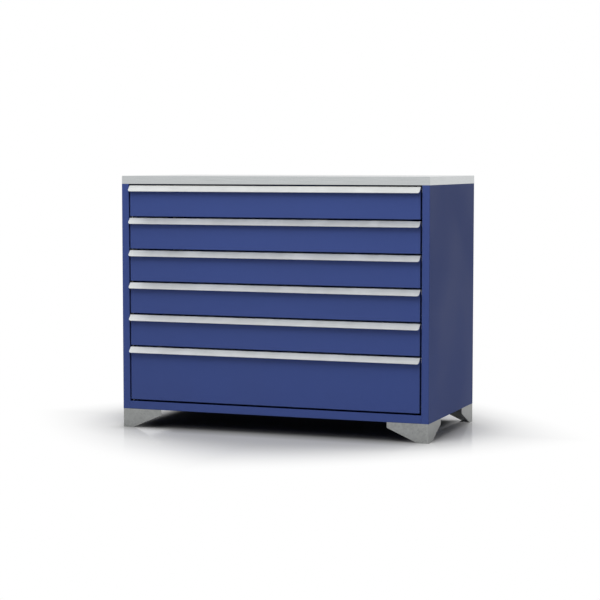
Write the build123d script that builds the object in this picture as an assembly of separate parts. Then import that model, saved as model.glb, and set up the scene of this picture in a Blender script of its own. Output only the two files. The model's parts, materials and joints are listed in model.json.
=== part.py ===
from build123d import *
import os

# A floor-standing cabinet of folded sheet steel, with drawers on telescopic runners.
# Millimetres. +Z is up, the drawer fronts face -Y, and the origin is on the floor under the middle.

# Cabinet body
width = 1200.0
depth = 600.0
foot_height = 70.0
base_rail_height = 29.5
stile_width = 28.0
stile_return = 7.0
rear_flange = 22.0
base_flange = 40.0
base_upstand = 25.0
body_sheet = 1.5
back_sheet = 1.2
bend_radius = 2.0
seam = 0.2

# Drawer fronts, one above the other
shallow_drawers = 5
shallow_front_height = 115.5
deep_front_height = 199.5
drawer_gap = 5.5
base_gap = 7.0
side_gap = 6.5
front_depth = 18.0
front_lip = 36.0

# Handles, folded strips that hook over the drawer fronts
handle_sheet = 2.0
handle_reach = 20.0
handle_drop = 21.0
handle_overhang = 1.5
handle_leg = 20.0
handle_bend_radius = 3.0
handle_corner_radius = 8.0

# Drawer trays, of sheets whose folds all turn away from the inside
tray_sheet = 1.2
tray_lift = 6.0
tray_headroom = 22.0
tray_rear_space = 32.0
tray_bend_radius = 2.5
tray_floor_flange = 6.0
tray_back_flange = 12.0
tray_hem = 10.0
tray_hem_gap = 0.4
tray_hem_radius = 1.3

# Telescopic runners
runner_height = 45.0
runner_thickness = 12.7
runner_sheet = 1.2
runner_play = 0.4
runner_lip = 4.0
runner_face_gap = 1.7
runner_bend_radius = 2.0
runner_setback = 2.0
runner_rear_space = 80.0
runner_lift = 15.0

# Posts that carry the runners
post_width = 40.0
post_brim = 12.0
post_inset = 14.0
post_bend_radius = 2.5

# Worktop and the rails under it
worktop_thickness = 30.0
worktop_sheet = 1.5
worktop_corner_radius = 2.5
worktop_edge_radius = 2.0
rail_height = 25.0
rail_depth = 40.0
rail_setback = 10.0

# Feet
foot_sheet = 3.0
foot_leg = 156.0
foot_end = 20.0
foot_base = 40.0
foot_knee_radius = 4.0
foot_bend_radius = 4.0
foot_tab_length = 90.0
foot_tab_depth = 35.0
foot_tab_start = 40.0

# Fasteners
screw_radius = 2.0
screw_head_radius = 4.0
screw_head_height = 2.4
screw_length = 10.0
screw_inset = 8.0
screw_end_inset = 60.0
hole_play = 0.2
wood_screw_radius = 2.5
wood_screw_head_radius = 5.0
wood_screw_head_height = 3.0
wood_screw_length = 20.0
wood_screws_per_rail = 3
wood_screw_end_inset = 150.0
bolt_radius = 4.0
bolt_head_radius = 7.5
bolt_head_height = 5.3
bolt_nut_height = 6.5
bolt_spacing = 50.0
bolt_edge = 20.0
rivet_radius = 2.0
rivet_head_radius = 4.0
rivet_head_height = 1.5
rivets_per_edge = 4
rivet_end_inset = 60.0

# Places that follow from the sizes
half_width = width / 2
front_y = (handle_reach - depth) / 2
back_y = front_y + depth
body_back_y = back_y - rivet_head_height
back_panel_y = body_back_y - body_sheet - back_sheet
body_bottom = foot_height
base_top = body_bottom + base_rail_height
deep_bottom = base_top + base_gap
shallow_pitch = shallow_front_height + drawer_gap
body_top = deep_bottom + deep_front_height + drawer_gap + shallow_drawers * shallow_pitch
inner_half_width = half_width - body_sheet
stile_x = half_width - stile_width
front_half_width = stile_x - side_gap
front_back_y = front_y + front_depth
tray_half_width = stile_x - runner_thickness
tray_back_y = back_y - tray_rear_space
tray_inside_x = tray_half_width - tray_sheet
tray_inside_back_y = tray_back_y - tray_back_flange
runner_front_y = front_back_y + runner_setback
runner_back_y = back_y - runner_rear_space
rail_bottom = body_top - rail_height
rail_front_y = front_back_y + rail_setback
cut_overrun = bend_radius
drawer_numbers = range(1, shallow_drawers + 2)


def block(low, high):
    """A box between two corners."""
    size = [b - a for a, b in zip(low, high)]
    return Pos(*low) * Box(*size, align=(Align.MIN, Align.MIN, Align.MIN))


def folded(plane, points, radii, sheet, start, stop, side=Side.LEFT):
    """A sheet folded along a line on a plane, its thickness to one side, drawn out from start to stop."""
    line = FilletPolyline(*points, radius=radii).wire()
    section = Face(line.offset_2d(sheet, side=side, closed=True))
    return extrude(plane.offset(start) * section, stop - start, dir=plane.z_dir)


def plate(plane, points, radii, start, stop):
    """A flat plate with a closed outline on a plane, from start to stop."""
    outline = FilletPolyline(*points, radius=radii, close=True).wire()
    return extrude(plane.offset(start) * Face(outline), stop - start, dir=plane.z_dir)


def rod(plane, centre, radius, start, stop):
    """A round rod square to a plane."""
    return extrude(plane.offset(start) * Pos(*centre) * Circle(radius), stop - start, dir=plane.z_dir)


def hexagon(plane, centre, radius, start, stop):
    """A six-sided head or nut, square to a plane."""
    outline = Pos(*centre) * RegularPolygon(radius, 6)
    return extrude(plane.offset(start) * outline, stop - start, dir=plane.z_dir)


def spread(count, low, high):
    """Evenly spaced places from low to high."""
    step = (high - low) / (count - 1)
    return [low + step * number for number in range(count)]


def both_sides(piece):
    """A piece of the right side, and its mirror image on the left."""
    return [piece, mirror(piece, Plane.YZ)]


def drawer_span(number):
    """Bottom and top of a drawer, its handle included. Number 1 is at the top."""
    if number > shallow_drawers:
        return deep_bottom, deep_bottom + deep_front_height
    bottom = body_top - number * shallow_pitch
    return bottom, bottom + shallow_front_height


def tray_span(number):
    """Bottom and rim of a drawer's tray."""
    bottom, top = drawer_span(number)
    return bottom + tray_lift, top - tray_headroom


def tray_screw_places(number):
    """X and Z of the screws through the tray's front wall."""
    bottom, rim = tray_span(number)
    floor = bottom + tray_floor_flange
    reach = tray_half_width - screw_end_inset
    return [(x, z) for x in (-reach, reach) for z in (floor + screw_inset, rim - screw_inset)]


def handle_screw_places(number):
    """X and Z of the screws through the handle's leg."""
    top = drawer_span(number)[1]
    reach = front_half_width / 2
    return [(x, top - handle_leg / 2) for x in (-reach, reach)]


def screw_holes(places, start, stop):
    """Clearance holes along Y."""
    radius = screw_radius + hole_play
    return [rod(Plane.ZX, (z, x), radius, start, stop) for x, z in places]


def side_panel():
    """The right side: a stile with its return at the front, a flange at the back, a shelf for the base."""
    line = [
        (stile_x, front_y + stile_return),
        (stile_x, front_y),
        (half_width, front_y),
        (half_width, body_back_y),
        (half_width - rear_flange, body_back_y),
    ]
    panel = folded(Plane.XY, line, bend_radius, body_sheet, body_bottom, body_top)
    shelf_bottom = body_bottom + body_sheet
    panel += block(
        (half_width - base_flange, front_y + stile_return, shelf_bottom),
        (half_width - body_sheet / 2, back_panel_y - bend_radius - seam, shelf_bottom + body_sheet),
    )
    flange_x = half_width - rear_flange / 2
    for z in side_rivet_heights():
        panel -= rod(Plane.ZX, (z, flange_x), rivet_radius, back_panel_y, back_y)
    return panel


def side_rivet_heights():
    return spread(rivets_per_edge, body_bottom + rivet_end_inset, body_top - rivet_end_inset)


def edge_rivet_places():
    """X and Z of the rivets along the back panel's top and bottom edges."""
    reach = inner_half_width - 2 * rivet_end_inset
    heights = (body_bottom + base_upstand / 2, body_top - rail_height / 2)
    return [(x, z) for x in spread(rivets_per_edge, -reach, reach) for z in heights]


def side_rivet_places():
    flange_x = half_width - rear_flange / 2
    return [(x, z) for x in (-flange_x, flange_x) for z in side_rivet_heights()]


def back_panel():
    """A flat sheet inside the side panels' rear flanges, clear of their bends."""
    reach = half_width - bend_radius - seam
    panel = block((-reach, back_panel_y, body_bottom), (reach, back_panel_y + back_sheet, body_top))
    for x, z in side_rivet_places() + edge_rivet_places():
        panel -= rod(Plane.ZX, (z, x), rivet_radius, back_panel_y, back_y)
    return panel


def back_panel_rivets():
    """Dome-headed rivets round the back panel, their heads outside."""
    grip = body_sheet + back_sheet
    rivets = []
    seats = [(place, body_back_y) for place in side_rivet_places()]
    seats += [(place, body_back_y - body_sheet) for place in edge_rivet_places()]
    for (x, z), seat in seats:
        head = rod(Plane.ZX, (z, x), rivet_head_radius, seat, seat + rivet_head_height)
        rivets.append(head + rod(Plane.ZX, (z, x), rivet_radius, seat - grip, seat))
    return rivets


def base_pan():
    """The floor of the body, folded up into the base rail at the front and an upstand at the back."""
    line = [
        (front_y + stile_return, base_top),
        (front_y, base_top),
        (front_y, body_bottom),
        (back_panel_y, body_bottom),
        (back_panel_y, body_bottom + base_upstand),
    ]
    reach = inner_half_width - seam
    pan = folded(Plane.YZ, line, bend_radius, body_sheet, -reach, reach)
    notch = block(
        (stile_x, front_y - cut_overrun, body_bottom - cut_overrun),
        (half_width, front_y + stile_return + seam, base_top + cut_overrun),
    )
    pan -= both_sides(notch)
    for x, y in bolt_places():
        pan -= rod(Plane.XY, (x, y), bolt_radius + hole_play, body_bottom, base_top)
    low_edge = body_bottom + base_upstand / 2
    for x, z in edge_rivet_places():
        if z == low_edge:
            pan -= rod(Plane.ZX, (z, x), rivet_radius, front_back_y, back_y)
    return pan


def front_top_rail():
    """A channel behind the top drawer's front, open to the back."""
    line = [
        (rail_front_y + rail_depth, body_top),
        (rail_front_y, body_top),
        (rail_front_y, rail_bottom),
        (rail_front_y + rail_depth, rail_bottom),
    ]
    reach = inner_half_width - seam
    rail = folded(Plane.YZ, line, bend_radius, body_sheet, -reach, reach)
    for x in wood_screw_columns():
        rail -= rod(Plane.XY, (x, rail_front_y + rail_depth / 2), wood_screw_radius, rail_bottom, body_top)
    return rail


def rear_top_rail():
    """The same channel against the back panel, open to the front."""
    line = [
        (back_panel_y - rail_depth, rail_bottom),
        (back_panel_y, rail_bottom),
        (back_panel_y, body_top),
        (back_panel_y - rail_depth, body_top),
    ]
    reach = inner_half_width - seam
    rail = folded(Plane.YZ, line, bend_radius, body_sheet, -reach, reach)
    for x in wood_screw_columns():
        rail -= rod(Plane.XY, (x, back_panel_y - rail_depth / 2), wood_screw_radius, rail_bottom, body_top)
    middle = body_top - rail_height / 2
    for x, z in edge_rivet_places():
        if z == middle:
            rail -= rod(Plane.ZX, (z, x), rivet_radius, front_back_y, back_y)
    return rail


def runner_posts():
    """The right side's two top-hat posts, brims on the side panel and crown behind the runners."""
    brim_x = inner_half_width - body_sheet
    start = body_bottom + 2 * body_sheet
    posts = []
    for front in (runner_front_y + post_inset, runner_back_y - post_inset - post_width):
        back = front + post_width
        line = [
            (brim_x, front - post_brim),
            (brim_x, front),
            (stile_x, front),
            (stile_x, back),
            (brim_x, back),
            (brim_x, back + post_brim),
        ]
        posts.append(
            folded(Plane.XY, line, post_bend_radius, body_sheet, start, rail_bottom, Side.RIGHT)
        )
    return posts


def runner_middle_height(number):
    return tray_span(number)[0] + runner_lift + runner_height / 2


def channel_line(middle, half_height, web_x, lip_x):
    """The outside of a channel with turned-in lips, seen from the front."""
    return [
        (middle + half_height - runner_lip, lip_x),
        (middle + half_height, lip_x),
        (middle + half_height, web_x),
        (middle - half_height, web_x),
        (middle - half_height, lip_x),
        (middle - half_height + runner_lip, lip_x),
    ]


def runner_members(number):
    """The right side's outer, middle and inner members, each held by the lips of the one before."""
    middle = runner_middle_height(number)
    step = runner_sheet + runner_play
    outer_half = runner_height / 2
    tray_x = tray_half_width
    outer_lip_x = tray_x + runner_face_gap
    outer_line = channel_line(middle, outer_half, stile_x, outer_lip_x)
    middle_line = channel_line(middle, outer_half - step, stile_x - step, outer_lip_x + step)
    brim_x = outer_lip_x + 2 * step
    brim_half = outer_half - 2 * step
    crown_half = outer_half - step - runner_lip - runner_play
    inner_line = [
        (middle + brim_half, brim_x),
        (middle + crown_half, brim_x),
        (middle + crown_half, tray_x),
        (middle - crown_half, tray_x),
        (middle - crown_half, brim_x),
        (middle - brim_half, brim_x),
    ]
    channel_radii = [0, runner_bend_radius, runner_bend_radius, 0]
    hat_radii = [0, runner_bend_radius, runner_bend_radius, 0]
    ends = (runner_front_y, runner_back_y)
    return [
        folded(Plane.ZX, outer_line, channel_radii, runner_sheet, *ends),
        folded(Plane.ZX, middle_line, channel_radii, runner_sheet, *ends),
        folded(Plane.ZX, inner_line, hat_radii, runner_sheet, *ends, Side.RIGHT),
    ]


def drawer_front(number):
    """A box-folded front with lips at the back, closed at both ends."""
    bottom, top = drawer_span(number)
    top -= handle_sheet
    line = [
        (front_back_y, top - front_lip),
        (front_back_y, top),
        (front_y, top),
        (front_y, bottom),
        (front_back_y, bottom),
        (front_back_y, bottom + front_lip),
    ]
    reach = front_half_width
    front = folded(Plane.YZ, line, bend_radius, body_sheet, -reach, reach)
    front += plate(Plane.YZ, line[1:5], bend_radius, reach - body_sheet, reach)
    front += plate(Plane.YZ, line[1:5], bend_radius, -reach, body_sheet - reach)
    places = tray_screw_places(number) + handle_screw_places(number)
    front -= screw_holes(places, front_back_y - body_sheet, front_back_y)
    return front


def drawer_handle(number):
    """A strip hooked over the front, with a lip that slopes down and forward and rounded lower corners."""
    top = drawer_span(number)[1]
    leg_y = front_back_y + handle_sheet
    line = [
        (leg_y, top - handle_leg),
        (leg_y, top),
        (front_y, top),
        (front_y - handle_reach, top - handle_drop),
    ]
    reach = front_half_width + handle_overhang
    strip = folded(Plane.YZ, line, handle_bend_radius, handle_sheet, -reach, reach)
    lip_ends = strip.edges().filter_by(Plane.YZ).sort_by(Axis.Z)[:2]
    strip = fillet(lip_ends, handle_corner_radius)
    return strip - screw_holes(handle_screw_places(number), front_back_y, leg_y)


def tray_side(number):
    """The right side wall, its rim hemmed to the outside."""
    bottom, rim = tray_span(number)
    hem_x = tray_half_width + tray_hem_gap + tray_sheet
    line = [(bottom, tray_inside_x), (rim, tray_inside_x), (rim, hem_x), (rim - tray_hem, hem_x)]
    return folded(Plane.ZX, line, tray_hem_radius, tray_sheet, front_back_y, tray_back_y)


def tray_floor(number):
    """The floor, its flanges turned down against the side walls."""
    bottom = tray_span(number)[0]
    top = bottom + tray_floor_flange
    line = [(bottom, tray_inside_x), (top, tray_inside_x), (top, -tray_inside_x), (bottom, -tray_inside_x)]
    ends = (front_back_y + tray_sheet, tray_inside_back_y)
    return folded(Plane.ZX, line, tray_bend_radius, tray_sheet, *ends, Side.RIGHT)


def tray_back(number):
    """The back wall, its flanges turned back along the side walls."""
    line = [
        (tray_inside_x, tray_back_y),
        (tray_inside_x, tray_inside_back_y),
        (-tray_inside_x, tray_inside_back_y),
        (-tray_inside_x, tray_back_y),
    ]
    return folded(Plane.XY, line, tray_bend_radius, tray_sheet, *tray_span(number), Side.RIGHT)


def tray_front_wall(number):
    """A plain wall behind the drawer front, with holes for its screws."""
    bottom, rim = tray_span(number)
    wall_back_y = front_back_y + tray_sheet
    wall = block((-tray_inside_x, front_back_y, bottom), (tray_inside_x, wall_back_y, rim))
    return wall - screw_holes(tray_screw_places(number), front_back_y, wall_back_y)


def drawer_tray(number):
    """The sheets that are welded into one open tray."""
    return both_sides(tray_side(number)) + [
        tray_floor(number),
        tray_back(number),
        tray_front_wall(number),
    ]


def drawer_screws(number):
    """Screws through the tray's front wall and the handle's leg, heads inside the drawer."""
    seats = [(place, front_back_y + tray_sheet) for place in tray_screw_places(number)]
    seats += [(place, front_back_y + handle_sheet) for place in handle_screw_places(number)]
    screws = []
    for (x, z), seat in seats:
        head = hexagon(Plane.ZX, (z, x), screw_head_radius, seat, seat + screw_head_height)
        screws.append(head + rod(Plane.ZX, (z, x), screw_radius, seat - screw_length, seat))
    return screws


def worktop_skin():
    """A metal pan upside down: flat top, edges turned down all round."""
    top = body_top + worktop_thickness
    slab = block((-half_width, front_y, body_top), (half_width, back_y, top))
    slab = fillet(slab.edges().filter_by(Axis.Z), worktop_corner_radius)
    slab = fillet(slab.faces().sort_by(Axis.Z)[-1].edges(), worktop_edge_radius)
    hollow = block(
        (worktop_sheet - half_width, front_y + worktop_sheet, body_top),
        (half_width - worktop_sheet, back_y - worktop_sheet, top - worktop_sheet),
    )
    return slab - fillet(hollow.edges().filter_by(Axis.Z), worktop_corner_radius - worktop_sheet)


def worktop_core():
    """The board that fills the skin."""
    wall = worktop_sheet + seam
    core = block(
        (wall - half_width, front_y + wall, body_top),
        (half_width - wall, back_y - wall, body_top + worktop_thickness - worktop_sheet),
    )
    core = fillet(core.edges().filter_by(Axis.Z), worktop_corner_radius)
    core = chamfer(core.faces().sort_by(Axis.Z)[-1].edges(), worktop_sheet)
    for x, y in wood_screw_places():
        core -= rod(Plane.XY, (x, y), wood_screw_radius, body_top, body_top + wood_screw_length)
    return core


def wood_screw_columns():
    reach = half_width - wood_screw_end_inset
    return spread(wood_screws_per_rail, -reach, reach)


def wood_screw_places():
    rows = (rail_front_y + rail_depth / 2, back_panel_y - rail_depth / 2)
    return [(x, y) for x in wood_screw_columns() for y in rows]


def worktop_screws():
    """Screws up through the rails into the board."""
    seat = body_top - body_sheet
    screws = []
    for place in wood_screw_places():
        head = hexagon(Plane.XY, place, wood_screw_head_radius, seat - wood_screw_head_height, seat)
        shank = rod(Plane.XY, place, wood_screw_radius, seat, seat + wood_screw_length)
        screws.append(head + shank)
    return screws


def corner_foot():
    """One plate folded round a corner at the origin, cut away to a narrow base, with a tab for the bolts."""
    corner_line = [(foot_leg, 0), (0, 0), (0, foot_leg)]
    angle = folded(Plane.XY, corner_line, foot_bend_radius, foot_sheet, 0, foot_height, Side.RIGHT)
    leg_outline = [
        (0, 0),
        (foot_base, 0),
        (foot_leg, foot_height - foot_end),
        (foot_leg, foot_height),
        (0, foot_height),
    ]
    leg_radii = [0, 0, foot_knee_radius, 0, 0]
    side_leg = plate(Plane.YZ, leg_outline, leg_radii, 0, foot_base)
    front_leg = mirror(side_leg, Plane(origin=(0, 0, 0), z_dir=(1, -1, 0)))
    foot = angle & (side_leg + front_leg)
    foot += block((foot_tab_start, 0, foot_height - foot_sheet),
                  (foot_tab_start + foot_tab_length, foot_tab_depth, foot_height))
    foot += block((foot_sheet, foot_sheet, 0), (foot_base, foot_base, foot_sheet))
    for x in bolt_columns():
        foot -= rod(Plane.XY, (x, bolt_edge), bolt_radius + hole_play, 0, foot_height)
    return foot


def bolt_columns():
    """Distances of a foot's bolts from its corner."""
    middle = foot_tab_start + foot_tab_length / 2
    return (middle - bolt_spacing / 2, middle + bolt_spacing / 2)


def bolt_places():
    """X and Y of all the foot bolts."""
    places = []
    for y in (front_y + bolt_edge, body_back_y - bolt_edge):
        for x in bolt_columns():
            places += [(x - half_width, y), (half_width - x, y)]
    return places


def foot_bolts():
    """Bolts up through the feet's tabs and the base, each with its nut."""
    tab_bottom = foot_height - foot_sheet
    nut_bottom = body_bottom + body_sheet
    bolts = []
    for place in bolt_places():
        bolt = hexagon(Plane.XY, place, bolt_head_radius, tab_bottom - bolt_head_height, tab_bottom)
        bolt += rod(Plane.XY, place, bolt_radius, tab_bottom, nut_bottom)
        bolt += hexagon(Plane.XY, place, bolt_head_radius, nut_bottom, nut_bottom + bolt_nut_height)
        bolts.append(bolt)
    return bolts


def feet():
    """The four feet by name."""
    foot = corner_foot()
    left_front = Pos(-half_width, front_y) * foot
    left_rear = Pos(-half_width, body_back_y) * mirror(foot, Plane.XZ)
    return {
        "front_left_foot": left_front,
        "front_right_foot": mirror(left_front, Plane.YZ),
        "rear_left_foot": left_rear,
        "rear_right_foot": mirror(left_rear, Plane.YZ),
    }


def drawer(number):
    """One drawer's pieces and its runners by name."""
    outer, middle, inner = runner_members(number)
    name = f"drawer_{number}"
    return {
        f"{name}_front": drawer_front(number),
        f"{name}_handle": drawer_handle(number),
        f"{name}_tray": drawer_tray(number),
        f"{name}_screws": drawer_screws(number),
        f"{name}_outer_runners": both_sides(outer),
        f"{name}_middle_runners": both_sides(middle),
        f"{name}_inner_runners": both_sides(inner),
    }


def cabinet():
    """Every piece by name. A list is a group of separate pieces."""
    right_panel = side_panel()
    right_posts = runner_posts()
    pieces = {
        "right_side_panel": right_panel,
        "left_side_panel": mirror(right_panel, Plane.YZ),
        "back_panel": back_panel(),
        "back_panel_rivets": back_panel_rivets(),
        "base_pan": base_pan(),
        "front_top_rail": front_top_rail(),
        "rear_top_rail": rear_top_rail(),
        "right_runner_posts": right_posts,
        "left_runner_posts": [mirror(post, Plane.YZ) for post in right_posts],
        "worktop_skin": worktop_skin(),
        "worktop_core": worktop_core(),
        "worktop_screws": worktop_screws(),
        "foot_bolts": foot_bolts(),
    }
    pieces.update(feet())
    for number in drawer_numbers:
        pieces.update(drawer(number))
    return pieces


os.makedirs("parts", exist_ok=True)
for name, piece in cabinet().items():
    if isinstance(piece, list):
        piece = Compound([solid for member in piece for solid in member.solids()])
    export_step(piece, f"parts/{name}.step")
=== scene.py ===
# %% [markdown]
# # A drawer cabinet in folded steel
#
# The object is a floor-standing workshop cabinet: a blue powder-coated body, six drawers with
# bright lip handles, a flush metal worktop and four galvanised feet. Its solids come from CAD and
# stay where they are. This file gives them finishes, puts worked heads in place of plain
# fasteners, and sets up a white studio with the photograph's camera.
#
# Loading the solids gives one object for each named piece, placed in world coordinates. The box
# round all of them is kept, and the floor's shading measures from it.

# %% Load the solids
import json
import math

import bmesh
import bpy
from mathutils import Matrix, Vector


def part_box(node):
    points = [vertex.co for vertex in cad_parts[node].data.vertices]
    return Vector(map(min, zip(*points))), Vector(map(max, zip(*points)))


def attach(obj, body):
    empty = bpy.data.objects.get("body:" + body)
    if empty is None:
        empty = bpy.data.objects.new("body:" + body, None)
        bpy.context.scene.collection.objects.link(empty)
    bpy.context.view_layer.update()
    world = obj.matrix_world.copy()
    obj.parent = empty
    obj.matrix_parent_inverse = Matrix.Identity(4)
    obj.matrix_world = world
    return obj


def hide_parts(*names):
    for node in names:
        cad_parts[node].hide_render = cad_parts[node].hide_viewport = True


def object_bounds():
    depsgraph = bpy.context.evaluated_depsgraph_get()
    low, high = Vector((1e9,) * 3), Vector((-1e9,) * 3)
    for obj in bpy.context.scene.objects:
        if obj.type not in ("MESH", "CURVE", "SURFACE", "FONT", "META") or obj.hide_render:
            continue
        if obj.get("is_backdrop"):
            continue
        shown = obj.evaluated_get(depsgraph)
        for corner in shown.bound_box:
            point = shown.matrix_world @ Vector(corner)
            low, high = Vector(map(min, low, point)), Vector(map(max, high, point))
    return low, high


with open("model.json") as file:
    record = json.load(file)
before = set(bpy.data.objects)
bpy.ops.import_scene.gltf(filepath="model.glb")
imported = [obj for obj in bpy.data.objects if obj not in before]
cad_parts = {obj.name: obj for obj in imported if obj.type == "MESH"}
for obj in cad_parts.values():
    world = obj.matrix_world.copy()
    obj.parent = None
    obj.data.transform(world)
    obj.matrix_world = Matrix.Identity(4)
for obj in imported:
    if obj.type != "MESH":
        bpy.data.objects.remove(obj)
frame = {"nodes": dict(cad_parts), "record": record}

cad_low, cad_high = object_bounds()
nodes = frame["nodes"]

# %% [markdown]
# ## The camera
#
# A product camera stands well back and uses a long lens, so that upright edges stay upright. The
# place, turn and tilt were worked out from the edges of the body in the photograph, with the
# body's own width, depth and height as the known lengths. The lens came out of the same fit, for
# a square picture on a 36 mm sensor. The fit needs no shift, so the camera can be turned to other
# views.

# %% Stand the camera where the photographer stood
camera_place = (2.3784, -6.3407, 1.0005)
camera_turn = math.radians(20.527)
camera_tilt = math.radians(4.435)
sensor_width = 36.0
lens_length = 107.302
camera = bpy.data.objects.new("camera", bpy.data.cameras.new("camera"))
camera.location = camera_place
camera.rotation_euler = (math.pi / 2 - camera_tilt, 0.0, camera_turn)
camera.data.sensor_width = sensor_width
camera.data.lens = lens_length
bpy.context.scene.collection.objects.link(camera)
bpy.context.scene.camera = camera
bpy.context.scene.view_settings.view_transform = "Standard"
print(f"camera at {camera.location[:]}, lens {camera.data.lens:.1f} mm")

# %% [markdown]
# ## Helpers for node trees
#
# Materials, the world and the shared effects are all node trees, and each is a list of nodes and
# the wires between them. Four small functions keep those lists short. add_node adds a node and
# fills or wires its sockets, maths and vector_maths do a sum in one line, and ramp is a smooth
# step between two values, which serves for shade that fades with distance and for tones that
# wander.

# %% Node helpers
def add_node(tree, kind, values=None, **settings):
    """Adds a node. settings are its properties, values its input sockets, by name or number."""
    node = tree.nodes.new(kind)
    for name, setting in settings.items():
        setattr(node, name, setting)
    for socket, value in (values or {}).items():
        if isinstance(value, bpy.types.NodeSocket):
            tree.links.new(value, node.inputs[socket])
        else:
            node.inputs[socket].default_value = value
    return node


def maths(tree, operation, *inputs):
    """A maths node, wired up, and its result."""
    node = add_node(tree, "ShaderNodeMath", dict(enumerate(inputs)), operation=operation)
    return node.outputs[0]


def vector_maths(tree, operation, *inputs, result="Vector"):
    """The same for vectors."""
    node = add_node(tree, "ShaderNodeVectorMath", dict(enumerate(inputs)), operation=operation)
    return node.outputs[result]


def ramp(tree, value, low, high, start=0.0, stop=1.0):
    """A smooth step from start to stop while value goes from low to high."""
    sockets = {"Value": value, "From Min": low, "From Max": high, "To Min": start, "To Max": stop}
    node = add_node(tree, "ShaderNodeMapRange", sockets, interpolation_type="SMOOTHSTEP")
    return node.outputs["Result"]


print("node helpers ready")

# %% [markdown]
# ## The white room
#
# The photograph has a pure white background and soft light from everywhere. A white world gives
# both, but the light that it throws on the object should be weaker than the white that the camera
# sees. Light Path tells the two apart: rays from the camera, and mirror-like and see-through
# rays, meet white at a strength of 1, and all other rays meet a dimmer fill.

# %% Make the world
pure_white = (1, 1, 1, 1)
room_fill = 0.15
world = bpy.data.worlds.new("white_room")
world.use_nodes = True
bpy.context.scene.world = world
tree = world.node_tree
tree.nodes.clear()


def seen_rays(tree):
    """1 for rays that show the background itself: camera, glossy and transmission rays."""
    rays = add_node(tree, "ShaderNodeLightPath").outputs
    seen = maths(tree, "MAXIMUM", rays["Is Camera Ray"], rays["Is Glossy Ray"])
    return maths(tree, "MAXIMUM", seen, rays["Is Transmission Ray"])


fill = add_node(tree, "ShaderNodeBackground", {"Color": pure_white, "Strength": room_fill})
white = add_node(tree, "ShaderNodeBackground", {"Color": pure_white, "Strength": 1.0})
mix = add_node(tree, "ShaderNodeMixShader",
               {0: seen_rays(tree), 1: fill.outputs[0], 2: white.outputs[0]})
add_node(tree, "ShaderNodeOutputWorld", {"Surface": mix.outputs[0]})
print(f"world: white to the eye, {room_fill} as fill light")

# %% [markdown]
# ## The lamps
#
# Three large soft boxes do the rest. Two hang in front, above the worktop, so that the drawer
# fronts are brighter than the right side. The key stands further off and lights the whole front.
# The near one is steeper: it makes the fronts fade from top to bottom and draws the long soft
# shadow under each handle. The third hangs behind and keeps the shadow on the floor short there.
# Area lamps this large have no hard shadow edge. They are hidden from mirror-like rays, so that
# metal shows the white room and not a bright square.

# %% Hang the soft boxes
def soft_box(name, place, aim, size, power):
    """A square area lamp at a place, turned towards an aim."""
    lamp = bpy.data.objects.new(name, bpy.data.lights.new(name, "AREA"))
    lamp.data.size = size
    lamp.data.energy = power
    lamp.location = place
    lamp.rotation_euler = (Vector(aim) - Vector(place)).to_track_quat("-Z", "Y").to_euler()
    lamp.visible_glossy = False
    lamp.visible_camera = False
    bpy.context.scene.collection.objects.link(lamp)
    return lamp


front_middle = (0.0, -0.3, 0.55)
floor_behind = (0.0, 0.6, 0.0)
lamps = [
    soft_box("key_lamp", (0.2, -2.6, 2.4), front_middle, size=2.0, power=33.5),
    soft_box("near_lamp", (0.0, -1.6, 2.6), front_middle, size=1.6, power=25.5),
    soft_box("rear_lamp", (0.0, 1.6, 2.6), floor_behind, size=1.6, power=18.0),
]
print("soft boxes:", {lamp.name: lamp.data.energy for lamp in lamps})

# %% [markdown]
# ## The floor
#
# A studio floor is a white board that reflects a little. It could be a backdrop that curves up
# behind the object, but the room is white already, so one large flat square is enough and its
# shading does the work. It is marked as stage, because it is no part of the cabinet.

# %% Lay the board
floor_half_size = 20.0
shape = bmesh.new()
bmesh.ops.create_grid(shape, x_segments=1, y_segments=1, size=floor_half_size)
floor = bpy.data.objects.new("floor", bpy.data.meshes.new("floor"))
shape.to_mesh(floor.data)
shape.free()
bpy.context.scene.collection.objects.link(floor)
floor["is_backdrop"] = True
pale_floor = bpy.data.materials.new("pale_floor")
pale_floor.use_nodes = True
floor.data.materials.append(pale_floor)
print(f"floor of {2 * floor_half_size} m square laid")

# %% [markdown]
# ## Distances on the floor
#
# The floor is nearly black between the feet and white an arm's length away. The shade painted
# into the board's colour, and its fade to white, go by distance from the body, so the board
# measures it: below zero under the body, above zero outside. Some light gets in under the edges,
# so the rectangle that counts is a little smaller than the body, and it lies slightly to the left,
# as the shade does in the photograph. A corner radius makes the lines of equal distance run round
# its corners. All of it reads the floor's own coordinates.

# %% Measure from the body's footprint
footprint_middle = (cad_low + cad_high) / 2
footprint_half = (cad_high - cad_low) / 2
light_from_sides, light_from_front = 0.04, 0.02
shade_to_left = 0.02
zero = (0.0, 0.0, 0.0)


def floor_offset(tree):
    """Where a point of the floor lies, seen from under the middle of the body."""
    place = add_node(tree, "ShaderNodeTexCoord").outputs["Object"]
    return vector_maths(tree, "SUBTRACT", place, (footprint_middle.x, footprint_middle.y, 0.0))


def distance_out(tree, corner):
    """How far a point lies past the shaded rectangle with that corner radius, below 0 inside."""
    straight_x = footprint_half.x - light_from_sides - corner
    straight_y = footprint_half.y - light_from_front - corner
    from_shade = vector_maths(tree, "ADD", floor_offset(tree), (shade_to_left, 0.0, 0.0))
    past = vector_maths(tree, "SUBTRACT", vector_maths(tree, "ABSOLUTE", from_shade),
                        (straight_x, straight_y, 0.0))
    outside = vector_maths(tree, "MAXIMUM", past, zero)
    axes = add_node(tree, "ShaderNodeSeparateXYZ", {0: past}).outputs
    inside = maths(tree, "MINIMUM", maths(tree, "MAXIMUM", axes["X"], axes["Y"]), 0.0)
    from_core = maths(tree, "ADD", vector_maths(tree, "LENGTH", outside, result="Value"), inside)
    return maths(tree, "SUBTRACT", from_core, corner)


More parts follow.
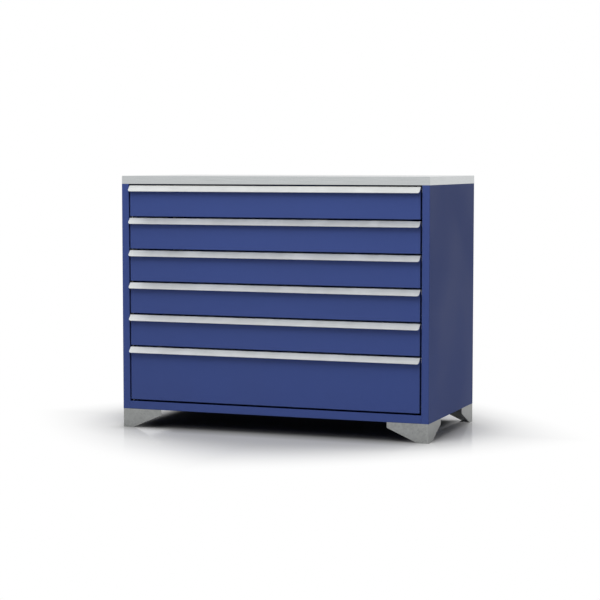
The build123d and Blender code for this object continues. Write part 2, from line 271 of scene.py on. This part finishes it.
print(f"footprint of {2 * footprint_half.x:.3f} by {2 * footprint_half.y:.3f} m")

# %% [markdown]
# ## The board's surface and its painted shade
#
# Close to the body the board is matt and takes the lamps' shadow. Lamps and fill alone leave the
# floor under the body too light, so shade is painted into its colour there as well, from dark grey
# under the body to white a little way out. A weak reflection shows the feet and the fronts. It
# starts at the body's edge and has gone within a metre.

# %% Matt white with painted shade and a weak reflection
floor_white, painted_floor_shade = 0.84, 0.15
painted_shade_span = (-0.06, 0.10)
gloss_start = (-0.03, 0.06)
gloss_reach = 0.9
floor_gloss, floor_gloss_roughness = 0.25, 0.1

tree = pale_floor.node_tree
tree.nodes.clear()
out = distance_out(tree, corner=0.0)
# Painted shade: the diffuse colour runs from dark grey under the body to white a little way out.
tone = ramp(tree, out, *painted_shade_span, painted_floor_shade, floor_white)
matt = add_node(tree, "ShaderNodeBsdfDiffuse", {"Color": tone})
gloss = add_node(tree, "ShaderNodeBsdfGlossy",
                 {"Color": pure_white, "Roughness": floor_gloss_roughness})
in_the_open = ramp(tree, out, *gloss_start)
near_the_body = ramp(tree, out, 0.0, gloss_reach, floor_gloss, 0.0)
gloss_share = maths(tree, "MULTIPLY", in_the_open, near_the_body)
board = add_node(tree, "ShaderNodeMixShader",
                 {0: gloss_share, 1: matt.outputs[0], 2: gloss.outputs[0]})
print(f"board: {floor_white} white, {painted_floor_shade} under the body, {floor_gloss} gloss at most")

# %% [markdown]
# ## The white further out
#
# In the photograph the shadow runs out into plain white, and no horizon shows. So the board turns
# into a white that glows at a strength of 1, for the rays that show the background only. It comes
# in with the distance from the middle, sooner towards the corners, where the photograph's floor
# is lighter, and with the distance from the body, this time round its corners.

# %% Fade the board to white
shadow_start, shadow_end = 0.43, 1.16
corner_light = 0.4
shade_corner = 0.22
contact_fade = (-0.05, 0.30)

offset = floor_offset(tree)
axes = add_node(tree, "ShaderNodeSeparateXYZ", {0: vector_maths(tree, "ABSOLUTE", offset)}).outputs
towards_corner = maths(tree, "MULTIPLY", axes["X"], axes["Y"])
from_middle = vector_maths(tree, "LENGTH", offset, result="Value")
from_middle = maths(tree, "MULTIPLY_ADD", towards_corner, corner_light, from_middle)
past_shadow = ramp(tree, from_middle, shadow_start, shadow_end)
past_contact = ramp(tree, distance_out(tree, shade_corner), *contact_fade)
away = maths(tree, "MULTIPLY", past_shadow, past_contact)
away = maths(tree, "MULTIPLY", away, seen_rays(tree))
glow = add_node(tree, "ShaderNodeEmission", {"Color": pure_white, "Strength": 1.0})
mix = add_node(tree, "ShaderNodeMixShader", {0: away, 1: board.outputs[0], 2: glow.outputs[0]})
add_node(tree, "ShaderNodeOutputMaterial", {"Surface": mix.outputs[0]})
print(f"floor is plain white from {shadow_end} m out")

# %% [markdown]
# ## Shared effects
#
# Three effects come back in several finishes, so each is a node group with its own inputs and
# outputs. They put out heights, tones and masks; the shaders stay in the materials. A group is
# started by a function that makes its sockets, and the patterns are noise in the object's own
# coordinates, stretched where a grain runs one way.

# %% Functions for groups and patterns
def start_group(name, inputs, outputs):
    """A shader node group with number inputs and outputs, its input sockets and its output node."""
    group = bpy.data.node_groups.new(name, "ShaderNodeTree")
    for label, value in inputs.items():
        socket = group.interface.new_socket(label, in_out="INPUT", socket_type="NodeSocketFloat")
        socket.default_value = value
    for label in outputs:
        group.interface.new_socket(label, in_out="OUTPUT", socket_type="NodeSocketFloat")
    entry = add_node(group, "NodeGroupInput")
    leave = add_node(group, "NodeGroupOutput")
    return group, entry.outputs, leave


def object_place(tree, stretch=(1.0, 1.0, 1.0)):
    """Object coordinates, scaled along each axis."""
    place = add_node(tree, "ShaderNodeTexCoord").outputs["Object"]
    return vector_maths(tree, "MULTIPLY", place, stretch)


def noise(tree, place, scale, detail=2.0):
    """Smooth noise between 0 and 1."""
    node = add_node(tree, "ShaderNodeTexNoise", {"Vector": place, "Scale": scale, "Detail": detail})
    return node.outputs["Fac"]


print("group helpers ready")

# %% [markdown]
# ## Orange peel
#
# Powder coat flows out into a surface that is never quite flat: it has ripples about four
# millimetres long, and its tone and gloss drift slowly over a panel. It could be modelled as real
# waves, but they are far too shallow to change an outline. Fine noise gives the height of the
# ripples and broad noise the patches.

# %% The orange peel group
orange_peel, entry, leave = start_group(
    "orange_peel", {"Waves per metre": 260.0, "Patches per metre": 3.0}, ["Height", "Patch"])
place = object_place(orange_peel)
ripples = noise(orange_peel, place, entry["Waves per metre"])
patches = noise(orange_peel, place, entry["Patches per metre"])
orange_peel.links.new(ripples, leave.inputs["Height"])
orange_peel.links.new(patches, leave.inputs["Patch"])
print("group:", orange_peel.name)

# %% [markdown]
# ## Brushing
#
# Rolled or polished sheet has a fine grain along its length. Noise stretched along one axis gives
# lines far longer than they are wide, and a small factor on the coordinate along the grain
# stretches it. The lines run along the width of the cabinet, but on a face that looks sideways
# they would show as dots, so there they run along the depth. The face's own normal tells which it
# is.

# %% The brushing group
grain_stretch = 0.012
grain_detail = 3.0
along_width, along_depth = (grain_stretch, 1.0, 1.0), (1.0, grain_stretch, 1.0)
sideways_limit = 0.7

brushing, entry, leave = start_group(
    "brushing", {"Lines per metre": 900.0, "Patches per metre": 14.0}, ["Grain", "Patch"])
facing = add_node(brushing, "ShaderNodeTexCoord").outputs["Normal"]
facing_x = add_node(brushing, "ShaderNodeSeparateXYZ", {0: facing}).outputs["X"]
sideways = maths(brushing, "GREATER_THAN", maths(brushing, "ABSOLUTE", facing_x), sideways_limit)
lines = [noise(brushing, object_place(brushing, stretch), entry["Lines per metre"], grain_detail)
         for stretch in (along_width, along_depth)]
# A Mix node has sockets of every type. Numbers go into 2 and 3, and come out of 0.
grain = add_node(brushing, "ShaderNodeMix", {0: sideways, 2: lines[0], 3: lines[1]})
patches = noise(brushing, object_place(brushing), entry["Patches per metre"])
brushing.links.new(grain.outputs[0], leave.inputs["Grain"])
brushing.links.new(patches, leave.inputs["Patch"])
print("group:", brushing.name)

# %% [markdown]
# ## Spangle
#
# Hot-dip zinc sets in flat crystals, each with its own grey, under a cloudy bloom. Voronoi cells
# are such a pattern, with one random colour for each cell, and noise makes the clouds.

# %% The spangle group
cloud_detail = 4.0
spangle, entry, leave = start_group(
    "spangle", {"Crystals per metre": 150.0, "Clouds per metre": 30.0}, ["Crystal", "Cloud"])
place = object_place(spangle)
cells = add_node(spangle, "ShaderNodeTexVoronoi",
                 {"Vector": place, "Scale": entry["Crystals per metre"]})
flat_tone = add_node(spangle, "ShaderNodeSeparateColor", {"Color": cells.outputs["Color"]})
clouds = noise(spangle, place, entry["Clouds per metre"], cloud_detail)
spangle.links.new(flat_tone.outputs["Red"], leave.inputs["Crystal"])
spangle.links.new(clouds, leave.inputs["Cloud"])
print("group:", spangle.name)

# %% [markdown]
# ## Finishes
#
# Every finish is one Principled shader, and values that are the same all over are set on its own
# sockets. Two functions start a finish and place a shared effect in it, so that each finish below
# is only a few lines long.

# %% Functions that start a finish
def start_finish(name, colour, roughness, metallic=0.0, specular=0.5):
    """A material with a Principled shader, its tree and the shader."""
    material = bpy.data.materials.new(name)
    material.use_nodes = True
    tree = material.node_tree
    tree.nodes.clear()
    shader = add_node(tree, "ShaderNodeBsdfPrincipled", {
        "Base Color": (*colour, 1), "Roughness": roughness, "Metallic": metallic,
        "Specular IOR Level": specular})
    add_node(tree, "ShaderNodeOutputMaterial", {"Surface": shader.outputs[0]})
    return material, tree, shader


def use_group(tree, group, **values):
    """Places a shared effect in a tree. Its inputs are given with _ for a space."""
    node = add_node(tree, "ShaderNodeGroup", node_tree=group)
    for label, value in values.items():
        node.inputs[label.replace("_", " ")].default_value = value
    return node.outputs


finishes = {}
print("finishes can be started")

# %% [markdown]
# ## What varies over a finish
#
# No real surface is the same all over. What changes comes from the groups: a tone that differs
# from crystal to crystal, a roughness that wanders, a normal that is bent by a very shallow bump.
# Noise seldom goes to 0 or 1, so a ramp over its middle range brings out the whole spread.

# %% Functions that vary a finish
noise_range = (0.3, 0.7)


def toned(tree, shader, value, dark, light):
    """Lets the base colour run from dark to light as value goes from 0 to 1."""
    # In a Mix node, colours go into sockets 6 and 7, and come out of 2.
    blend = add_node(tree, "ShaderNodeMix", {0: value, 6: (*dark, 1), 7: (*light, 1)},
                     data_type="RGBA")
    tree.links.new(blend.outputs[2], shader.inputs["Base Color"])


def roughened(tree, shader, value, limits, roughness, wander):
    """Lets the roughness wander round its middle as value goes between two limits."""
    rough = ramp(tree, value, *limits, roughness - wander, roughness + wander)
    tree.links.new(rough, shader.inputs["Roughness"])


def bumped(tree, shader, height, depth):
    """Bends the shader's normal by a height map of that depth, in metres."""
    bump = add_node(tree, "ShaderNodeBump", {"Height": height, "Strength": 1.0, "Distance": depth})
    tree.links.new(bump.outputs[0], shader.inputs["Normal"])


def shades(colour, spread):
    """A slightly darker and a slightly lighter shade of a colour."""
    return [[part * factor for part in colour] for factor in (1 - spread, 1 + spread)]


print("finishes can vary in tone, roughness and height")

# %% [markdown]
# ## Paint
#
# The body and the drawer fronts are powder-coated in one deep blue, nearer matt than glossy. The
# trays inside are a light grey of the same kind with more gloss. A flat colour would look like
# plastic, so both get orange peel two hundredths of a millimetre deep, and patches that differ
# slightly in tone and gloss.

# %% Blue and grey powder coat
paint_spread = 0.03
paint_wander = 0.04
peel_depth = 0.00002


def powder_coat(name, colour, roughness, specular):
    """Paint with orange peel, in patches that differ slightly."""
    material, tree, shader = start_finish(name, colour, roughness, specular=specular)
    peel = use_group(tree, orange_peel, Waves_per_metre=260.0, Patches_per_metre=3.0)
    toned(tree, shader, ramp(tree, peel["Patch"], *noise_range), *shades(colour, paint_spread))
    roughened(tree, shader, peel["Patch"], noise_range, roughness, paint_wander)
    bumped(tree, shader, peel["Height"], peel_depth)
    return material


finishes["blue_paint"] = powder_coat(
    "blue_paint", colour=(0.044, 0.0738, 0.2495), roughness=0.7, specular=0.35)
finishes["grey_paint"] = powder_coat(
    "grey_paint", colour=(0.50, 0.52, 0.52), roughness=0.42, specular=0.5)
print("finishes:", list(finishes))

# %% [markdown]
# ## Bare sheet
#
# The handles and the worktop are bare metal with a lengthwise grain. On the worktop the grain is
# nearly all that shows, in two close greys. The handles are brighter and rougher, and half of
# their tone follows broad patches, which gives them the mottled look of the photograph's handles.
# The grain changes the tone only: a bump as fine as this would be lost between the pixels.

# %% Brushed handles and worktop
def brushed_sheet(name, dark, light, roughness, wander, cloud):
    """Metal with a grain. The cloud is the share of the tone that follows broad patches instead."""
    material, tree, shader = start_finish(name, light, roughness, metallic=1.0)
    brushed = use_group(tree, brushing, Lines_per_metre=900.0, Patches_per_metre=14.0)
    grain = maths(tree, "MULTIPLY", brushed["Grain"], 1 - cloud)
    tone = maths(tree, "MULTIPLY_ADD", brushed["Patch"], cloud, grain)
    toned(tree, shader, ramp(tree, tone, *noise_range), dark, light)
    roughened(tree, shader, brushed["Patch"], noise_range, roughness, wander)
    return material


finishes["handle_metal"] = brushed_sheet(
    "handle_metal", dark=(0.69, 0.71, 0.703), light=(0.88, 0.90, 0.89),
    roughness=0.39, wander=0.05, cloud=0.5)
finishes["worktop_metal"] = brushed_sheet(
    "worktop_metal", dark=(0.49, 0.51, 0.515), light=(0.55, 0.57, 0.575),
    roughness=0.22, wander=0.01, cloud=0.0)
print("finishes:", list(finishes))

# %% [markdown]
# ## Zinc
#
# The feet are galvanised: a grey skin of zinc crystals, each with its own tone and gloss. That
# zinc has dulled, so it is only partly metallic. Runners and fasteners have a thin bright zinc
# plate, which shows no crystals, so their finish takes only the clouds of the same group.

# %% Galvanised feet and plated runners
crystal_share = 0.5
crystal_wander = 0.08
plate_range = (0.2, 0.8)
plate_spread = 0.06
plate_wander = 0.05


def galvanised_sheet(name, dark, light, roughness, metallic):
    """Dulled zinc in crystals, under clouds."""
    material, tree, shader = start_finish(name, light, roughness, metallic)
    zinc = use_group(tree, spangle, Crystals_per_metre=150.0, Clouds_per_metre=30.0)
    clouds = maths(tree, "MULTIPLY", zinc["Cloud"], 1 - crystal_share)
    tone = maths(tree, "MULTIPLY_ADD", zinc["Crystal"], crystal_share, clouds)
    toned(tree, shader, tone, dark, light)
    roughened(tree, shader, zinc["Crystal"], (0.0, 1.0), roughness, crystal_wander)
    return material


def plated(name, colour, roughness):
    """Bright zinc with faint clouds."""
    material, tree, shader = start_finish(name, colour, roughness, metallic=1.0)
    cloud = use_group(tree, spangle, Clouds_per_metre=30.0)["Cloud"]
    toned(tree, shader, ramp(tree, cloud, *plate_range), *shades(colour, plate_spread))
    roughened(tree, shader, cloud, plate_range, roughness, plate_wander)
    return material


finishes["galvanised"] = galvanised_sheet(
    "galvanised", dark=(0.25, 0.257, 0.252), light=(0.40, 0.41, 0.405),
    roughness=0.45, metallic=0.6)
finishes["zinc_plate"] = plated("zinc_plate", colour=(0.60, 0.61, 0.62), roughness=0.32)
print("finishes:", list(finishes))

# %% [markdown]
# ## Board
#
# The worktop's skin is folded round a raw fibreboard, which shows only from below, inside the
# body. Its fibres are pressed every way, so plain fine noise between two browns stands for them.
# A grain would make it look like timber.

# %% Raw fibreboard
board_roughness = 0.8
fibres_per_metre = 500.0
fibre_detail = 4.0


def fibreboard(name, dark, light):
    """Raw pressed board, mottled by its fibres."""
    material, tree, shader = start_finish(name, light, board_roughness)
    fibres = noise(tree, object_place(tree), fibres_per_metre, fibre_detail)
    toned(tree, shader, fibres, dark, light)
    return material


finishes["worktop_board"] = fibreboard(
    "worktop_board", dark=(0.30, 0.20, 0.12), light=(0.46, 0.33, 0.21))
print("finishes:", list(finishes))

# %% [markdown]
# ## Dressing the solids
#
# CAD already names a material slot for every solid, and the finishes above have the slots' names.
# A loop over CAD's own list therefore dresses them all, and none can be forgotten. The solids'
# shapes are not touched.

# %% Give every solid the finish of its slot
for part in frame["record"]["subparts"]:
    solid = nodes[part["node"]]
    solid.data.materials.clear()
    solid.data.materials.append(finishes[part["material_slot"]])
print(f"{len(nodes)} solids painted or plated")

# %% [markdown]
# ## Fasteners
#
# CAD has the rivets, the drawers' screws and the feet's bolts as plain discs and prisms. The real
# ones have worked heads: a blind rivet is a low dome with the mandrel's hole, a sheet-metal screw
# has a washer pressed on under its hexagon, a bolt's corners are turned off. Each is made once,
# by spinning an outline or bevelling a prism, and copied to its places, so that every group stays
# one light piece.

# %% Shapes for small turned and six-sided heads
def turned(outline, steps=16):
    """A shape spun round +Z from an outline of radius and height, both ends on the axis."""
    shape = bmesh.new()
    points = [shape.verts.new((radius, 0.0, height)) for radius, height in outline]
    for start, end in zip(points, points[1:]):
        shape.edges.new((start, end))
    bmesh.ops.spin(shape, geom=shape.verts[:] + shape.edges[:], cent=(0, 0, 0), axis=(0, 0, 1),
                   angle=math.tau, steps=steps, use_merge=True)
    bmesh.ops.remove_doubles(shape, verts=shape.verts[:], dist=1e-6)
    bmesh.ops.recalc_face_normals(shape, faces=shape.faces[:])
    return shape


def six_sided(radius, low, high, softening):
    """A hexagonal prism along +Z from low to high, the edges of its far end bevelled."""
    shape = bmesh.new()
    middle = (low + high) / 2
    bmesh.ops.create_cone(shape, cap_ends=True, segments=6, radius1=radius, radius2=radius,
                          depth=high - low, matrix=Matrix.Translation((0, 0, middle)))
    rim = [edge for edge in shape.edges if all(vert.co.z > middle for vert in edge.verts)]
    bmesh.ops.bevel(shape, geom=rim, offset=softening, affect="EDGES", segments=2, profile=0.5,
                    material=-1)
    return shape


def joined(*shapes):
    """Several shapes as one mesh, the pattern of a fastener."""
    whole, mesh = bmesh.new(), bpy.data.meshes.new("pattern")
    for shape in shapes:
        shape.to_mesh(mesh)
        shape.free()
        whole.from_mesh(mesh)
    whole.to_mesh(mesh)
    whole.free()
    return mesh


print("fastener shapes ready")

# %% [markdown]
# ## Setting fasteners
#
# A pattern stands on +Z at the origin. Setting it means turning it the way its head looks and
# moving it to each place. The copies become one object at the origin, which rides on the body
# that the fasteners are in and, where CAD has them as plain solids, stands for that node.

# %% A function that sets a row of fasteners
fastener_slot = "zinc_plate"


def fastened(name, pattern, places, turn, body, node=None):
    """One piece made of a pattern copied to places, riding on a body."""
    whole = bmesh.new()
    for place in places:
        first = len(whole.verts)
        whole.from_mesh(pattern)
        bmesh.ops.transform(whole, matrix=Matrix.Translation(place) @ turn,
                            verts=whole.verts[:][first:])
    piece = bpy.data.objects.new(name, bpy.data.meshes.new(name))
    whole.to_mesh(piece.data)
    whole.free()
    piece.data.materials.append(finishes[fastener_slot])
    bpy.context.scene.collection.objects.link(piece)
    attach(piece, body)
    if node:
        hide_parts(node)
    return piece


print("fasteners take the finish", fastener_slot)

# %% [markdown]
# ## Rivets in the back
#
# The back panel is riveted to the side flanges, the base and the rear rail. From behind the
# rivets are the only relief on a large flat sheet, so their dome and their hole are worth having.
# A dome with a hole is a turned shape: its outline starts on the axis at the bottom of the hole,
# goes over the dome and comes back to the axis under the rim.

# %% Blind rivets round the back panel
towards_back = Matrix.Rotation(-math.pi / 2, 4, "X")
rivet_outline = [(0, 0.0006), (0.0009, 0.0006), (0.0011, 0.0013), (0.002, 0.0015),
                 (0.0032, 0.0011), (0.0038, 0.0006), (0.004, 0.0), (0, 0.0)]
rivets_in_row = 4
flange_x, flange_y, flange_lowest, flange_step = 0.589, 0.3085, 0.13, 0.242167
panel_first, panel_y, panel_step = -0.4785, 0.307, 0.319
base_z, rail_z = 0.0825, 0.904
upright_rows = [(x, flange_y, flange_lowest + flange_step * row)
                for x in (-flange_x, flange_x) for row in range(rivets_in_row)]
level_rows = [(panel_first + panel_step * row, panel_y, z)
              for z in (base_z, rail_z) for row in range(rivets_in_row)]
rivets = fastened("rivet_heads", joined(turned(rivet_outline, steps=20)),
                  upright_rows + level_rows, towards_back, "cabinet", "back_panel_rivets")
print(f"{rivets.name}: {len(upright_rows + level_rows)} set, {len(rivets.data.polygons)} faces")

# %% [markdown]
# ## Screws in the drawers
#
# Each tray is screwed to its front at four corners, and the handle's leg to the front at two
# places. The heads show only when a drawer is open. They are hexagons with a pressed washer: a
# turned disc and a bevelled prism in one pattern. Their heights follow each drawer's own tray and
# handle.

# %% Washer-headed screws for trays and handles
washer_outline = [(0, 0.0), (0.0046, 0.0), (0.0047, 0.0004), (0.0044, 0.0008), (0, 0.0008)]
tray_screw = joined(turned(washer_outline, steps=20),
                    six_sided(radius=0.0034, low=0.0006, high=0.0024, softening=0.0004))
tray_wall_y, handle_leg_y = -0.2708, -0.27
tray_reach, handle_reach = 0.4993, 0.28275
above_tray_floor, below_tray_rim, below_handle_top = 0.014, 0.008, 0.01
drawer_numbers = range(1, 7)
for number in drawer_numbers:
    low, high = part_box(f"drawer_{number}_tray")
    places = [(x, tray_wall_y, z) for x in (-tray_reach, tray_reach)
              for z in (low.z + above_tray_floor, high.z - below_tray_rim)]
    leg_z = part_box(f"drawer_{number}_handle")[1].z - below_handle_top
    places += [(x, handle_leg_y, leg_z) for x in (-handle_reach, handle_reach)]
    heads = fastened(f"drawer_{number}_screw_heads", tray_screw, places, towards_back,
                     f"drawer_{number}", f"drawer_{number}_screws")
    print(f"{heads.name}: {len(places)} driven")

# %% [markdown]
# ## Screws in the runners
#
# A runner's inner member is screwed to the side of the tray from the recess along its middle.
# These low round heads show when a drawer is pulled out, and CAD leaves them to this file. They
# are turned shapes with a shallow hole for the driver, and the left ones look the other way.

# %% Flat round heads along the inner runners
towards_right = Matrix.Rotation(math.pi / 2, 4, "Y")
towards_left = Matrix.Rotation(-math.pi / 2, 4, "Y")
runner_screw_outline = [(0, 0.0007), (0.0013, 0.0007), (0.0015, 0.0014), (0.0028, 0.0014),
                        (0.0036, 0.0009), (0.0038, 0.0), (0, 0.0)]
runner_screw = joined(turned(runner_screw_outline))
runner_web_x = 0.5605
from_runner_end = 0.04
for number in drawer_numbers:
    low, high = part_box(f"drawer_{number}_inner_runners")
    middle_z = (low.z + high.z) / 2
    rows = [low.y + from_runner_end, (low.y + high.y) / 2, high.y - from_runner_end]
    for side, turn, sign in (("right", towards_right, 1), ("left", towards_left, -1)):
        places = [(sign * runner_web_x, y, middle_z) for y in rows]
        heads = fastened(f"drawer_{number}_{side}_runner_screws", runner_screw, places, turn,
                         f"drawer_{number}")
        print(f"{heads.name}: {len(places)} driven")

# %% [markdown]
# ## Bolts in the feet
#
# Each foot is held by two bolts that go up through its tab and the base, with a nut inside. From
# the floor only the heads show. Head and nut are the same bevelled hexagon, one with a washer
# under it and one with the bolt's end standing out of it.

# %% Hexagon bolts with washers and nuts
downwards = Matrix.Rotation(math.pi, 4, "X")
upwards = Matrix()
bolt_x = [sign * x for sign in (-1, 1) for x in (0.54, 0.49)]
bolt_y = (-0.27, 0.2885)
tab_bottom, base_floor = 0.067, 0.0715
hexagon_radius, hexagon_softening = 0.0072, 0.0007
bolt_washer = turned([(0, 0.0), (0.0078, 0.0), (0.008, 0.0003), (0.0078, 0.0012), (0, 0.0012)],
                     steps=24)
bolt_head = joined(bolt_washer, six_sided(hexagon_radius, 0.0012, 0.0053, hexagon_softening))
bolt_end = turned([(0, 0.0), (0.004, 0.0), (0.004, 0.0072), (0.0034, 0.008), (0, 0.008)])
bolt_nut = joined(six_sided(hexagon_radius, 0.0, 0.0062, hexagon_softening), bolt_end)
heads = fastened("foot_bolt_heads", bolt_head, [(x, y, tab_bottom) for x in bolt_x for y in bolt_y],
                 downwards, "cabinet", "foot_bolts")
nuts = fastened("foot_bolt_nuts", bolt_nut, [(x, y, base_floor) for x in bolt_x for y in bolt_y],
                upwards, "cabinet")
print(f"{heads.name} and {nuts.name}: {len(bolt_x) * len(bolt_y)} each")

# %% [markdown]
# ## The finished size
#
# Nothing in this file is meant to make the cabinet larger than its solids. The box of the
# finished model is printed.

# %% Print the finished size
low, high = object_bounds()
print("finished model from", [round(v, 4) for v in low], "to", [round(v, 4) for v in high])
